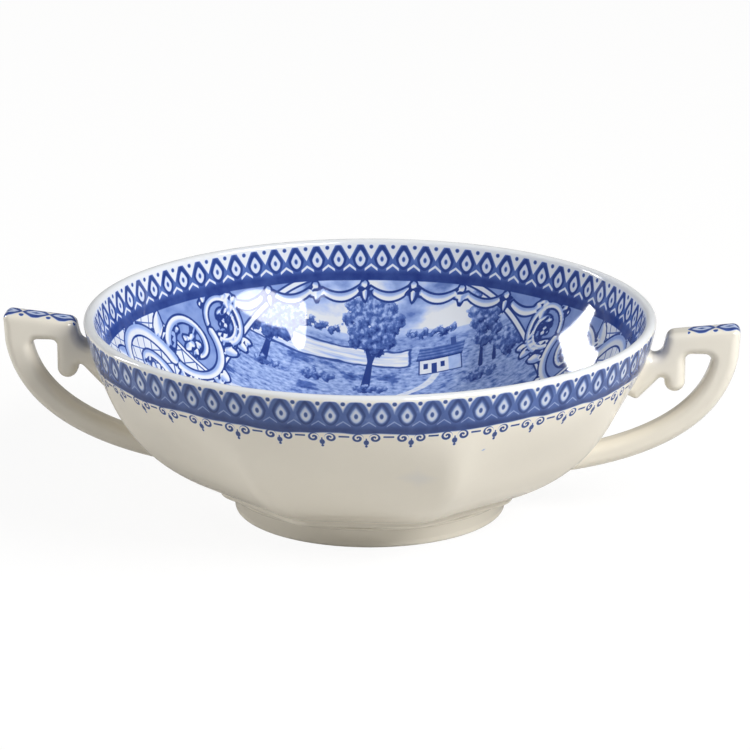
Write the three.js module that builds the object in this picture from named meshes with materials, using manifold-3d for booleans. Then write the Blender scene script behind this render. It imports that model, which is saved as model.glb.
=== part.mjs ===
// A two-handled cream soup bowl in glazed earthenware, in millimetres.
// +Z is up, the origin is the middle of the foot on the table, and the handles reach along +X and -X.
// The bowl is made as a potter makes it: a moulded body, a turned foot and two cast handles, formed apart
// and luted together with slip. The slip is the thin joint left between the pieces.
import * as THREE from 'three';
import { mergeVertices } from 'three/addons/utils/BufferGeometryUtils.js';
import Module from 'manifold-3d';

// Body: round at the lip, with flat panels that come in below the border.
const RIM_RADIUS = 63.8; // outside of the lip
const LIP_HEIGHT = 45.1; // table to the top of the lip
const LIP_THICKNESS = 2.4;
const WALL_THICKNESS = 4.0; // square to the wall, at the foot of the panels
const WALL_TOP_LEAN = 12; // degrees from upright, just under the lip
const WALL_TOP_PULL = 12.4; // how strongly the wall keeps that lean
const WALL_FOOT_RISE = 21.5; // degrees above level, at the foot of the panels
const WALL_FOOT_PULL = 23.8; // how strongly the wall keeps that rise
const FLOOR_THICKNESS = 4.4;
const FLOOR_RADIUS = 22; // level middle of the floor, inside
const PANEL_COUNT = 8;
const PANEL_CORNER_RADIUS = 7.2; // softening of the corner between two panels
const PANEL_TOP_DROP = 6.4; // lip to where the panels start to come in
const PANEL_FADE = 19.2; // height over which they come in
const INSIDE_PANEL_SHARE = 0.85; // how much of a panel shows inside the bowl

// Foot: a turned ring under the panels, with a cove and a fine bead between.
const FOOT_RADIUS = 30.4; // on the table
const FOOT_FLARE = 1.4; // how much wider the ring is at its top
const FOOT_HEIGHT = 4.2;
const FOOT_WIDTH = 5.2; // of the ring, at its top
const FOOT_EDGE = 0.7; // rounding of the two edges that stand on the table
const COVE_HEIGHT = 2.1; // seat on the foot to the foot of the panels
const COVE_WIDTH = 2.9;
const COVE_HOLLOW = 0.5; // how far the cove runs upright before it turns out
const BEAD_WIDTH = 1.7; // fine bead between the cove and the panels
const BEAD_RISE = 55; // degrees above level
const BEAD_DEPTH = 0.5; // how far it stands out

// Joint: the slip between two pieces.
const LUTING_GAP = 0.3;

// Handle: neck, post with a spur, flat bar and a strap that sweeps back to the foot of the wall.
const HANDLE_REACH = 18.9; // rim to the outer end
const HANDLE_WIDTH = 7.2;
const HANDLE_EDGE = 1.8; // rounding of the sides, seen from the front
const HANDLE_CROWN = 2.4; // rounding of the sides, across the width
const NECK_DROP = 8.0; // lip to the top of the neck
const NECK_FILLET = 1.8;
const POST_GAP = 1.2; // rim to the post
const POST_LEAN = 1.3; // how far the post leans out by its top
const POST_THICKNESS = 5.4;
const BAR_INNER_DROP = 2.6; // lip to the top of the bar, at the post
const BAR_OUTER_DROP = 0.8; // lip to the top of the bar, at the outer end
const BAR_THICKNESS = 6.7; // at the outer end
const BAR_CORNER = 0.3; // corner left on the flat side of the bar, inside its rounding
const BAR_END_LEAN = 0.4; // how far the end of the bar leans in by its foot
const WINDOW_FILLET = 1.2; // inside corners under the bar
const SPUR_DROP = 8.7; // underside of the bar to the tip of the spur
const SPUR_WIDTH = 4.6;
const NOTCH_RISE = 1.9; // round end of the spur to the corner of the notch behind it
const NOTCH_FILLET = 0.55;
const PAD_DROP = 18.4; // lip to the tip of the pad under the neck
const PAD_THICKNESS = 4.2; // how far that tip stands off the wall
const PAD_UNDERCUT = 4.0; // how far the pad's underside rises on its way into the wall
const STRAP_TOP_THICKNESS = 5.8;
const STRAP_FOOT_THICKNESS = 4.9;
const STRAP_TOP_LEAN = 8; // degrees from upright, under the bar
const STRAP_TOP_PULL = 0.334; // share of its drop over which the strap keeps that lean
const STRAP_FOOT_RISE = 7; // degrees above level, at the wall
const STRAP_FOOT_PULL = 0.812; // share of its reach over which the strap keeps that rise
const STRAP_FOOT_LIFT = 1.7; // foot of the panels to the underside of the strap

// Fineness of the curved faces.
const STEPS_PER_PANEL = 10;
const WALL_STEPS = 14;
const LIP_STEPS = 6;
const FLOOR_STEPS = 4;
const COVE_STEPS = 3;
const BEAD_STEPS = 4;
const STRAP_STEPS = 20;
const FILLET_STEPS = 3;
const CROWN_STEPS = 4;
const HEIGHT_HALVINGS = 40; // steps of the search for a height on the wall
const MERGE_DISTANCE = 1e-4; // points closer than this are one point
const ROUNDING_LIMIT = 0.45; // a rounding takes at most this share of the thickness it rounds

const GLAZE_CREAM = 0xf1ece1;
const GLAZE_ROUGHNESS = 0.15;

const wasm = await Module();
wasm.setup();

// A point at a distance from another, in a direction given in degrees above level.
function stepFrom(point, angle, distance) {
  const turn = THREE.MathUtils.degToRad(angle);
  return new THREE.Vector2(point.x + distance * Math.cos(turn), point.y + distance * Math.sin(turn));
}

// The roundings of the handle, kept inside its thinnest stretch.
const handleEdge = Math.min(HANDLE_EDGE, ROUNDING_LIMIT * Math.min(SPUR_WIDTH, STRAP_FOOT_THICKNESS));
const handleCrown = Math.min(HANDLE_CROWN, ROUNDING_LIMIT * HANDLE_WIDTH);

// Heights and outlines that the pieces share. A Vector2 holds a radius and a height.
const seatHeight = FOOT_HEIGHT + LUTING_GAP;
const footTopRadius = FOOT_RADIUS + FOOT_FLARE;
const floorHeight = seatHeight + FLOOR_THICKNESS;
const panelFoot = new THREE.Vector2(footTopRadius + COVE_WIDTH, seatHeight + COVE_HEIGHT);
const beadFoot = stepFrom(panelFoot, 180 + BEAD_RISE, BEAD_WIDTH);
const panelTopHeight = LIP_HEIGHT - PANEL_TOP_DROP;
const lipRadius = LIP_THICKNESS / 2;
const lipCentre = new THREE.Vector2(RIM_RADIUS - lipRadius, LIP_HEIGHT - lipRadius);
const shoulder = stepFrom(lipCentre, -WALL_TOP_LEAN, lipRadius);

// The wall's outside along the corner between two panels, from the foot of the panels to the lip.
const wallCurve = new THREE.CubicBezierCurve(
  panelFoot,
  stepFrom(panelFoot, WALL_FOOT_RISE, WALL_FOOT_PULL),
  stepFrom(shoulder, -90 - WALL_TOP_LEAN, WALL_TOP_PULL),
  shoulder,
);

// How far the panels have come in at a height: 0 is round and 1 is flat-sided.
function panelWeight(height) {
  return 1 - THREE.MathUtils.smoothstep(height, panelTopHeight - PANEL_FADE, panelTopHeight);
}

// The radius of a polygon with rounded corners, at an angle from the middle of a side.
function panelRadius(cornerRadius, angleFromMiddle) {
  const halfSide = Math.PI / PANEL_COUNT;
  const cornerCentre = cornerRadius - PANEL_CORNER_RADIUS;
  if (cornerCentre <= 0) return cornerRadius;
  const flat = cornerCentre * Math.cos(halfSide) + PANEL_CORNER_RADIUS;
  const flatHalfAngle = Math.atan2(cornerCentre * Math.sin(halfSide), flat);
  if (Math.abs(angleFromMiddle) <= flatHalfAngle) return flat / Math.cos(angleFromMiddle);
  const turn = halfSide - Math.abs(angleFromMiddle);
  const across = cornerCentre * Math.sin(turn);
  return cornerCentre * Math.cos(turn) + Math.sqrt(PANEL_CORNER_RADIUS ** 2 - across ** 2);
}

// The wall's outside radius in the middle of a panel, at a height.
function wallRadiusAt(height) {
  let low = 0;
  let high = 1;
  for (let halving = 0; halving < HEIGHT_HALVINGS; halving += 1) {
    const middle = (low + high) / 2;
    if (wallCurve.getPoint(middle).y < height) {
      low = middle;
    } else {
      high = middle;
    }
  }
  const corner = wallCurve.getPoint(low);
  return THREE.MathUtils.lerp(corner.x, panelRadius(corner.x, 0), panelWeight(corner.y));
}

// One level ring of points: the corner radius, the height and how far the panels have come in.
function ring({ radius, height, weight }) {
  const count = PANEL_COUNT * STEPS_PER_PANEL;
  const side = (2 * Math.PI) / PANEL_COUNT;
  const points = [];
  for (let index = 0; index < count; index += 1) {
    const angle = (2 * Math.PI * index) / count;
    const fromMiddle = angle - side * Math.round(angle / side);
    const reach = THREE.MathUtils.lerp(radius, panelRadius(radius, fromMiddle), weight);
    points.push(new THREE.Vector3(reach * Math.cos(angle), reach * Math.sin(angle), height));
  }
  return points;
}

// A closed skin over a stack of rings, with its two ends closed to the axis.
function loft(stations) {
  const rings = stations.map(ring);
  const count = rings[0].length;
  const points = rings.flat();
  const startTip = points.push(new THREE.Vector3(0, 0, stations[0].height)) - 1;
  const endTip = points.push(new THREE.Vector3(0, 0, stations.at(-1).height)) - 1;
  const lastRing = (rings.length - 1) * count;
  const faces = [];
  for (let index = 0; index < count; index += 1) {
    const next = (index + 1) % count;
    faces.push(startTip, next, index);
    for (let base = 0; base < lastRing; base += count) {
      faces.push(base + index, base + next, base + count + next);
      faces.push(base + index, base + count + next, base + count + index);
    }
    faces.push(endTip, lastRing + index, lastRing + next);
  }
  return new THREE.BufferGeometry().setFromPoints(points).setIndex(faces);
}

// Stations up the outside of the body, from its seat on the foot over the cove and the bead to the lip.
// An offset pushes the wall out.
function outsideStations(offset) {
  const cove = new THREE.QuadraticBezierCurve(
    new THREE.Vector2(footTopRadius, seatHeight),
    new THREE.Vector2(footTopRadius + COVE_HOLLOW, beadFoot.y),
    beadFoot,
  );
  const stations = [];
  for (let step = 0; step < COVE_STEPS; step += 1) {
    const share = step / COVE_STEPS;
    const point = cove.getPoint(share);
    stations.push({ radius: point.x, height: point.y, weight: share ** 2 });
  }
  for (let step = 0; step < BEAD_STEPS; step += 1) {
    const share = step / BEAD_STEPS;
    const base = beadFoot.clone().lerp(panelFoot, share);
    const point = stepFrom(base, BEAD_RISE - 90, BEAD_DEPTH * Math.sin(Math.PI * share));
    stations.push({ radius: point.x, height: point.y, weight: 1 });
  }
  for (let step = 0; step <= WALL_STEPS; step += 1) {
    const point = wallCurve.getPoint(step / WALL_STEPS);
    const along = wallCurve.getTangent(step / WALL_STEPS);
    const weight = panelWeight(point.y);
    stations.push({ radius: point.x + offset * along.y, height: point.y - offset * along.x, weight });
  }
  return stations;
}

// Stations over the lip and down the inside to the floor.
function insideStations() {
  const stations = [];
  for (let step = 1; step < LIP_STEPS; step += 1) {
    const point = stepFrom(lipCentre, (180 * step) / LIP_STEPS - WALL_TOP_LEAN, lipRadius);
    stations.push({ radius: point.x, height: point.y, weight: 0 });
  }
  for (let step = WALL_STEPS; step >= 0; step -= 1) {
    const share = step / WALL_STEPS;
    const point = wallCurve.getPoint(share);
    const along = wallCurve.getTangent(share);
    const thickness = THREE.MathUtils.lerp(WALL_THICKNESS, LIP_THICKNESS, share);
    const weight = panelWeight(point.y) * INSIDE_PANEL_SHARE;
    stations.push({ radius: point.x - thickness * along.y, height: point.y + thickness * along.x, weight });
  }
  const wallFoot = stations.at(-1);
  const slope = Math.tan(THREE.MathUtils.degToRad(WALL_FOOT_RISE));
  const floorCurve = new THREE.QuadraticBezierCurve(
    new THREE.Vector2(wallFoot.radius, wallFoot.height),
    new THREE.Vector2(wallFoot.radius - (wallFoot.height - floorHeight) / slope, floorHeight),
    new THREE.Vector2(FLOOR_RADIUS, floorHeight),
  );
  for (let step = 1; step <= FLOOR_STEPS; step += 1) {
    const share = step / FLOOR_STEPS;
    const point = floorCurve.getPoint(share);
    stations.push({ radius: point.x, height: point.y, weight: wallFoot.weight * (1 - share) });
  }
  return stations;
}

// A closed geometry as a solid that can be cut, and back again.
function toSolid(geometry) {
  const bare = geometry.clone();
  bare.deleteAttribute('normal');
  bare.deleteAttribute('uv');
  const merged = mergeVertices(bare, MERGE_DISTANCE);
  const vertProperties = new Float32Array(merged.attributes.position.array);
  const triVerts = new Uint32Array(merged.index.array);
  return new wasm.Manifold(new wasm.Mesh({ numProp: 3, vertProperties, triVerts }));
}

function toGeometry(solid) {
  const { vertProperties, triVerts } = solid.getMesh();
  const geometry = new THREE.BufferGeometry();
  geometry.setAttribute('position', new THREE.BufferAttribute(vertProperties, 3));
  geometry.setIndex(new THREE.BufferAttribute(triVerts, 1));
  geometry.computeVertexNormals();
  return geometry;
}

// The moulded body.
function bodyGeometry() {
  const geometry = loft([...outsideStations(0), ...insideStations()]);
  geometry.computeVertexNormals();
  return geometry;
}

// The turned foot ring: a flat seat on top, a flared outside and rounded edges on the table.
function footGeometry() {
  const innerTop = footTopRadius - FOOT_WIDTH;
  const innerFoot = innerTop + FOOT_FLARE;
  const profile = new THREE.Path();
  profile.moveTo(innerTop, FOOT_HEIGHT);
  profile.lineTo(innerFoot, FOOT_EDGE);
  profile.quadraticCurveTo(innerFoot, 0, innerFoot + FOOT_EDGE, 0);
  profile.lineTo(FOOT_RADIUS - FOOT_EDGE, 0);
  profile.quadraticCurveTo(FOOT_RADIUS, 0, FOOT_RADIUS, FOOT_EDGE);
  profile.lineTo(footTopRadius, FOOT_HEIGHT);
  profile.lineTo(innerTop, FOOT_HEIGHT);
  const geometry = new THREE.LatheGeometry(profile.getPoints(FILLET_STEPS), PANEL_COUNT * STEPS_PER_PANEL);
  return toGeometry(toSolid(geometry.rotateX(Math.PI / 2)));
}

// A closed outline through corners, each rounded by its own radius. The first corner is a sharp one.
function roundedShape(corners) {
  const shape = new THREE.Shape();
  corners.forEach(({ point, radius }, index) => {
    if (index === 0) {
      shape.moveTo(point.x, point.y);
      return;
    }
    if (!radius) {
      shape.lineTo(point.x, point.y);
      return;
    }
    const back = corners[index - 1].point.clone().sub(point).normalize();
    const ahead = corners[(index + 1) % corners.length].point.clone().sub(point).normalize();
    const halfAngle = Math.acos(back.dot(ahead)) / 2;
    const cut = radius / Math.tan(halfAngle);
    const start = point.clone().addScaledVector(back, cut);
    const end = point.clone().addScaledVector(ahead, cut);
    const inward = back.clone().add(ahead).normalize();
    const centre = point.clone().addScaledVector(inward, radius / Math.sin(halfAngle));
    const startAngle = start.clone().sub(centre).angle();
    const endAngle = end.clone().sub(centre).angle();
    shape.lineTo(start.x, start.y);
    shape.absarc(centre.x, centre.y, radius, startAngle, endAngle, back.cross(ahead) > 0);
  });
  shape.closePath();
  return shape;
}

// One side of the strap, stepped off square from its middle line and thinning towards the wall.
function strapSide(middleLine, side) {
  const points = [];
  for (let step = 0; step <= STRAP_STEPS; step += 1) {
    const share = step / STRAP_STEPS;
    const along = middleLine.getTangent(share);
    const half = THREE.MathUtils.lerp(STRAP_TOP_THICKNESS, STRAP_FOOT_THICKNESS, share) / 2;
    const square = new THREE.Vector2(-along.y, along.x);
    points.push(middleLine.getPoint(share).addScaledVector(square, side * half));
  }
  return points;
}

// The handle seen from the front: the horizontal is the distance from the bowl's axis.
function handleShape() {
  const outerEnd = RIM_RADIUS + HANDLE_REACH;
  const neckTop = LIP_HEIGHT - NECK_DROP;
  const postInner = RIM_RADIUS + POST_GAP;
  const postOuter = postInner + POST_THICKNESS;
  const barTop = LIP_HEIGHT - BAR_OUTER_DROP;
  const barUnder = barTop - BAR_THICKNESS;
  const spurTip = barUnder - SPUR_DROP;
  const spurInner = postOuter - SPUR_WIDTH;
  const spurRound = SPUR_WIDTH / 2;
  const barCorner = handleEdge + BAR_CORNER;
  const padTip = LIP_HEIGHT - PAD_DROP;
  const padWall = wallRadiusAt(padTip);
  const padReach = padWall + PAD_THICKNESS;
  const notchTop = spurTip + spurRound + NOTCH_RISE;
  const notchAngle = Math.atan2(spurInner - padReach, notchTop - padTip);
  const notchFillet = Math.min(NOTCH_FILLET, NOTCH_RISE * Math.tan(notchAngle / 2));

  const strapUnderside = new THREE.Vector2(
    wallRadiusAt(panelFoot.y + STRAP_FOOT_LIFT),
    panelFoot.y + STRAP_FOOT_LIFT,
  );
  const strapFoot = stepFrom(strapUnderside, 90 + STRAP_FOOT_RISE, STRAP_FOOT_THICKNESS / 2);
  const strapTop = new THREE.Vector2(outerEnd - BAR_END_LEAN - STRAP_TOP_THICKNESS / 2, barUnder);
  const strapDrop = strapTop.y - strapFoot.y;
  const strapReach = strapTop.x - strapFoot.x;
  const middleLine = new THREE.CubicBezierCurve(
    strapTop,
    stepFrom(strapTop, -90 - STRAP_TOP_LEAN, STRAP_TOP_PULL * strapDrop),
    stepFrom(strapFoot, STRAP_FOOT_RISE, STRAP_FOOT_PULL * strapReach),
    strapFoot,
  );
  const corner = (x, y, radius = 0) => ({ point: new THREE.Vector2(x, y), radius });
  const sharp = (point) => ({ point, radius: 0 });
  const [windowCorner, ...strapInside] = strapSide(middleLine, -1);
  const clearOfFillet = (point) => point.distanceTo(windowCorner) > 2 * WINDOW_FILLET;

  return roundedShape([
    corner(wallRadiusAt(neckTop) - WALL_THICKNESS, neckTop),
    corner(postInner, neckTop, NECK_FILLET),
    corner(postInner + POST_LEAN, LIP_HEIGHT - BAR_INNER_DROP, barCorner),
    corner(outerEnd, barTop, barCorner),
    ...strapSide(middleLine, 1).map(sharp),
    ...strapInside.filter(clearOfFillet).reverse().map(sharp),
    corner(windowCorner.x, barUnder, WINDOW_FILLET),
    corner(postOuter, barUnder, WINDOW_FILLET),
    corner(postOuter, spurTip, spurRound),
    corner(spurInner, spurTip, spurRound),
    corner(spurInner, notchTop, notchFillet),
    corner(padReach, padTip),
    corner(padWall - WALL_THICKNESS, padTip + PAD_UNDERCUT),
  ]);
}

// The cast handle on the +X side, fitted to the wall with room for the slip.
function handleGeometry() {
  const depth = HANDLE_WIDTH - 2 * handleCrown;
  const casting = new THREE.ExtrudeGeometry(handleShape(), {
    depth,
    curveSegments: FILLET_STEPS,
    bevelSegments: CROWN_STEPS,
    bevelThickness: handleCrown,
    bevelSize: handleEdge,
    bevelOffset: -handleEdge,
  });
  casting.translate(0, 0, -depth / 2).rotateX(Math.PI / 2);
  const wallWithSlip = toSolid(loft(outsideStations(LUTING_GAP)));
  return toGeometry(toSolid(casting).subtract(wallWithSlip));
}

function piece(name, geometry) {
  const material = new THREE.MeshStandardMaterial({
    color: GLAZE_CREAM,
    roughness: GLAZE_ROUGHNESS,
    metalness: 0,
  });
  const mesh = new THREE.Mesh(geometry, material);
  mesh.name = name;
  return mesh;
}

const soupBowl = new THREE.Group();
const handle = handleGeometry();
const rightHandle = piece('right_handle', handle);
const leftHandle = piece('left_handle', handle.clone());
leftHandle.rotation.z = Math.PI;
soupBowl.add(
  piece('bowl_body', bodyGeometry()),
  piece('foot_ring', footGeometry()),
  rightHandle,
  leftHandle,
);

export default soupBowl;
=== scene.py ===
"""Looks of a two-handled cream soup bowl: glazed cream earthenware with blue printed borders.

Sizes are in millimetres and angles in degrees unless a name says otherwise. Meshes are scaled to metres
when they are made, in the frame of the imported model: +Z up, the handles along +X and -X, the viewer at -Y.
"""
import math

import bmesh
import bpy
import numpy as np
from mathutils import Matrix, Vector


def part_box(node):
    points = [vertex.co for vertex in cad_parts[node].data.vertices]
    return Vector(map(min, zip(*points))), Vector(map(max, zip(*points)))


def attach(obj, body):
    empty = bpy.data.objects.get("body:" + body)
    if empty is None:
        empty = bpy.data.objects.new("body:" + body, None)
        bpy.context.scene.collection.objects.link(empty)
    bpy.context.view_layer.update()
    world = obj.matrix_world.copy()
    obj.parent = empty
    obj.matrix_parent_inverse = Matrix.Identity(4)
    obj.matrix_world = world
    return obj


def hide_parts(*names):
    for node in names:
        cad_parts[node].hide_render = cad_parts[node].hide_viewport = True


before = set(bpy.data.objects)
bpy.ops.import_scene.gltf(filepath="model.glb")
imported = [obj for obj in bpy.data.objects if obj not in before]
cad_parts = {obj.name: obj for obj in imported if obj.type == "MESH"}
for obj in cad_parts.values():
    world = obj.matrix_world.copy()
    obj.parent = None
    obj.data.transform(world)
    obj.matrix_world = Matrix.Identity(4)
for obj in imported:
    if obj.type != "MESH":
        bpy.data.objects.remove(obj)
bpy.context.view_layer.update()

MM = 0.001

# Body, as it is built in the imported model.
BODY_LOW, BODY_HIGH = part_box("bowl_body")
RIM_RADIUS = BODY_HIGH.x / MM
LIP_HEIGHT = BODY_HIGH.z / MM
SEAT_HEIGHT = BODY_LOW.z / MM
LIP_THICKNESS = 2.4
WALL_THICKNESS = 4.0
WALL_TOP_LEAN = 12.0
WALL_TOP_PULL = 12.4
WALL_FOOT_RISE = 21.5
WALL_FOOT_PULL = 23.8
FLOOR_THICKNESS = 4.4
FLOOR_RADIUS = 22.0
PANEL_COUNT = 8
PANEL_CORNER_RADIUS = 7.2
PANEL_TOP_DROP = 6.4
PANEL_FADE = 19.2
INSIDE_PANEL_SHARE = 0.85
COVE_HEIGHT = 2.1
COVE_WIDTH = 2.9
COVE_HOLLOW = 0.5
BEAD_WIDTH = 1.7
BEAD_RISE = 55.0
BEAD_DEPTH = 0.5
UNDERSIDE_DOME = 0.5

# Foot ring.
FOOT_TOP_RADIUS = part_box("foot_ring")[1].x / MM
FOOT_FLARE = 1.4
FOOT_WIDTH = 5.2
FOOT_EDGE = 0.9
FOOT_SINK = 0.2  # how far the ring reaches into the body, so that the slip joint closes
FOOT_FILLET = 0.9
FOOT_WAIST = 2.4

# Handles.
HANDLE_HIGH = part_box("right_handle")[1]
HANDLE_END = HANDLE_HIGH.x / MM
BAR_TOP = HANDLE_HIGH.z / MM
HANDLE_WIDTH = 2 * HANDLE_HIGH.y / MM
HANDLE_EDGE = 2.0
HANDLE_CROWN = 2.6
BAR_EDGE = 1.5  # the bar's top is flatter than the rest of the handle
BAR_CROWN = 2.0
BAR_EDGE_DEPTH = 2.2
HANDLE_ROOT = 1.3  # how far the ends reach into the wall
ROOT_FILLET = 1.3
NECK_DROP = 8.0
NECK_FILLET = 2.2
POST_GAP = 1.2
POST_LEAN = 1.3
POST_THICKNESS = 5.4
BAR_SLOPE_DROP = 1.8
BAR_THICKNESS = 6.5
BAR_INNER_CORNER = 2.2
BAR_OUTER_CORNER = 1.7
BAR_END_LEAN = 0.4
WINDOW_FILLET = 1.3
SPUR_DROP = 8.7
SPUR_WIDTH = 4.6
NOTCH_RISE = 1.9
NOTCH_FILLET = 0.7
PAD_DROP = 18.4
PAD_THICKNESS = 4.2
PAD_TIP_ROUND = 1.1
PAD_UNDERCUT = 2.6
STRAP_TOP_THICKNESS = 5.8
STRAP_FOOT_THICKNESS = 4.9
STRAP_TOP_LEAN = 8.0
STRAP_TOP_PULL = 0.334
STRAP_FOOT_RISE = 7.0
STRAP_FOOT_PULL = 0.812
STRAP_FOOT_LIFT = 1.7
HANDLE_VOXEL = 0.4
SKIN_PASSES = 6  # how often the points are drawn onto the rounded skin, and the longest step
SKIN_STEP = 0.6
SKIN_NUDGE = 0.02

# Fineness of the bowl's mesh.
COLUMNS = 512
UNDERSIDE_RINGS = 5
COVE_RINGS = 7
BEAD_RINGS = 9
WALL_RINGS = 34
LIP_RINGS = 12
INSIDE_RINGS = 122
PROFILE_SAMPLES = 1200

# Flat map of the bowl's surface: the inside is one disc, the outside's border three strips, the rest a disc.
MAP_INSIDE_CENTRE = (0.342, 0.342)
MAP_INSIDE_RADIUS = 0.338
MAP_UNDER_CENTRE = (0.845, 0.160)
MAP_UNDER_RADIUS = 0.152
MAP_BORDER_DROP = 14.0
MAP_STRIPS = 3
MAP_STRIP_LOW = 0.690
MAP_STRIP_STEP = 0.103
MAP_STRIP_HEIGHT = 0.098
MAP_STRIP_WIDTH = 0.990

# Printed borders, from the top of the band down.
LOZENGES = 74
OUTSIDE_MARGIN = 1.65  # crest of the lip to the top of the band
INSIDE_MARGIN = 1.9
# Half a lozenge's width at the top of the band, how it grows downwards, and the power that it grows by.
OUTSIDE_NOTCH = (0.95, 1.2, 0.5)
INSIDE_NOTCH = (0.75, 0.58, 1.0)
KNOT_DROP = 0.5
HEART_DROP = 3.4
HEART_HALF_WIDTH = 1.3
HEART_RISE = 2.15
HEART_FALL = 1.75
RING_SIZE = 1.9  # outer edge of the dark ring round a heart, in heart sizes
ARROW_DROP = 4.75
LOZENGE_TURN = 0.37  # shifts the rows, as shares of a lozenge and of an edging unit
EDGING_TURN = 0.68
BAND_HEIGHT = 7.7
EDGING_DROP = 8.9
EDGING_UNITS = 41
COIL_OFFSET = 1.85
COIL_RADIUS = 1.25
COIL_STEP = 1.05
INSIDE_BAND_HEIGHT = 8.3
SPECK = (28.2, 30.5)  # a stray speck of ink and a faint smudge on the front: across and up
SMUDGE = (14.5, 24.2)

# Print on the handles: the strip starts further out on the right one.
STRIP_START = 68.4
STRIP_SHIFT = 2.4
STRIP_LENGTH = 6.1
STRIP_HALF_WIDTH = 2.7

# Colours, in linear light.
GLAZE_CREAM = (0.84, 0.795, 0.70, 1)
GLAZE_SHADE = (0.80, 0.755, 0.655, 1)
GLAZE_INSIDE = (0.80, 0.82, 0.84, 1)
BARE_CLAY = (0.70, 0.62, 0.48, 1)
# Ink from thin to thick. It looks greyer under the cream glaze outside.
INSIDE_INKS = ((0.42, 0.54, 0.84, 1), (0.105, 0.19, 0.51, 1), (0.010, 0.032, 0.20, 1))
OUTSIDE_INKS = ((0.41, 0.50, 0.71, 1), (0.090, 0.160, 0.42, 1), (0.010, 0.032, 0.155, 1))
FLOOR_PALE = (0.72, 0.71, 0.69, 1)
WHITE = (1, 1, 1, 1)
GLAZE_WAVES = 0.03  # depth of the waves in the glaze
GLAZE_IOR = 1.55
PRINTED_ROUGHNESS = 0.06
CREAM_ROUGHNESS = 0.07
ROUGHNESS_CHANGE = 0.05

# Floor and light. A lamp has a shape, azimuth, elevation, width, height, radiance and what it lights.
FLOOR_HALF_WIDTH = 4000.0
FLOOR_GLOW = 1.06
FLOOR_WHITE_SHARE = 0.86
WORLD_STRENGTH = 0.23
LAMP_DISTANCE = 1150.0
LAMPS = {
    "key_box": ("ELLIPSE", 62, 38, 740, 540, 14.0, "matte"),
    "side_box": ("RECTANGLE", -111, 22, 100, 450, 24.0, "all"),
    "fill_box": ("RECTANGLE", -86, 8, 500, 450, 5.6, "matte"),
    "gloss_box": ("ELLIPSE", 53, 46, 1000, 660, 15.0, "gloss"),
}

# Camera, as it stood for the photograph.
IMAGE_SIDE = 750
FOCAL_PIXELS = 4229.4
TARGET_PIXEL = (370.0, 411.0)
TARGET_HEIGHT = 22.0
CAMERA_DISTANCE = 950.0
CAMERA_AZIMUTH = 4.5
CAMERA_ELEVATION = 17.52
SENSOR_WIDTH = 36.0


def step_from(point, angle, distance):
    """The point at a distance from another, in a direction given in degrees above level."""
    turn = math.radians(angle)
    return np.array([point[0] + distance * math.cos(turn), point[1] + distance * math.sin(turn)])


def bezier(controls, shares):
    """Points on the Bezier curve of these control points, at shares from 0 to 1 of its parameter."""
    shares = np.asarray(shares, float)[:, None]
    rows = [np.asarray(c, float)[None, :] for c in controls]
    while len(rows) > 1:
        rows = [a + (b - a) * shares for a, b in zip(rows, rows[1:])]
    return rows[0]


def smooth_step(value, low, high):
    share = np.clip((value - low) / (high - low), 0, 1)
    return share * share * (3 - 2 * share)


def along_line(points):
    """Distance along a line of points, from its first one."""
    steps = np.hypot(*np.diff(points[:, :2], axis=0).T)
    return np.concatenate([[0], np.cumsum(steps)])


# Outlines that the pieces share: a radius and a height.
LIP_RADIUS = LIP_THICKNESS / 2
LIP_CENTRE = np.array([RIM_RADIUS - LIP_RADIUS, LIP_HEIGHT - LIP_RADIUS])
SHOULDER = step_from(LIP_CENTRE, -WALL_TOP_LEAN, LIP_RADIUS)
PANEL_FOOT = np.array([FOOT_TOP_RADIUS + COVE_WIDTH, SEAT_HEIGHT + COVE_HEIGHT])
BEAD_FOOT = step_from(PANEL_FOOT, 180 + BEAD_RISE, BEAD_WIDTH)
FLOOR_HEIGHT = SEAT_HEIGHT + FLOOR_THICKNESS
WALL_CONTROLS = (
    PANEL_FOOT,
    step_from(PANEL_FOOT, WALL_FOOT_RISE, WALL_FOOT_PULL),
    step_from(SHOULDER, -90 - WALL_TOP_LEAN, WALL_TOP_PULL),
    SHOULDER,
)


def panel_weight(height):
    """How far the panels have come in at a height: 0 is round and 1 is flat-sided."""
    top = LIP_HEIGHT - PANEL_TOP_DROP
    return 1 - smooth_step(height, top - PANEL_FADE, top)


def panel_radius(corner_radius, angle):
    """The radius of the rounded polygon at an angle in radians, counted from the middle of a side."""
    half_side = math.pi / PANEL_COUNT
    from_middle = np.abs(angle - 2 * half_side * np.round(angle / (2 * half_side)))
    centre = np.maximum(corner_radius - PANEL_CORNER_RADIUS, 0)
    rounding = np.minimum(PANEL_CORNER_RADIUS, corner_radius)
    flat = centre * math.cos(half_side) + rounding
    flat_half_angle = np.arctan2(centre * math.sin(half_side), flat)
    turn = half_side - from_middle
    corner = centre * np.cos(turn) + np.sqrt(np.maximum(rounding**2 - (centre * np.sin(turn)) ** 2, 0))
    return np.where(from_middle <= flat_half_angle, flat / np.cos(from_middle), corner)


def wall_outside(shares):
    """Points, unit tangents and panel weights up the wall's outside, along a corner between two panels."""
    shares = np.asarray(shares, float)
    points = bezier(WALL_CONTROLS, shares)
    slopes = bezier([b - a for a, b in zip(WALL_CONTROLS, WALL_CONTROLS[1:])], shares)
    tangents = slopes / np.hypot(*slopes.T)[:, None]
    return points, tangents, panel_weight(points[:, 1])


def resample(stations, count):
    """That many stations at equal steps along a profile of (radius, height, weight)."""
    length = along_line(stations)
    steps = np.linspace(0, length[-1], count)
    return np.stack([np.interp(steps, length, column) for column in stations.T], 1)


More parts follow.
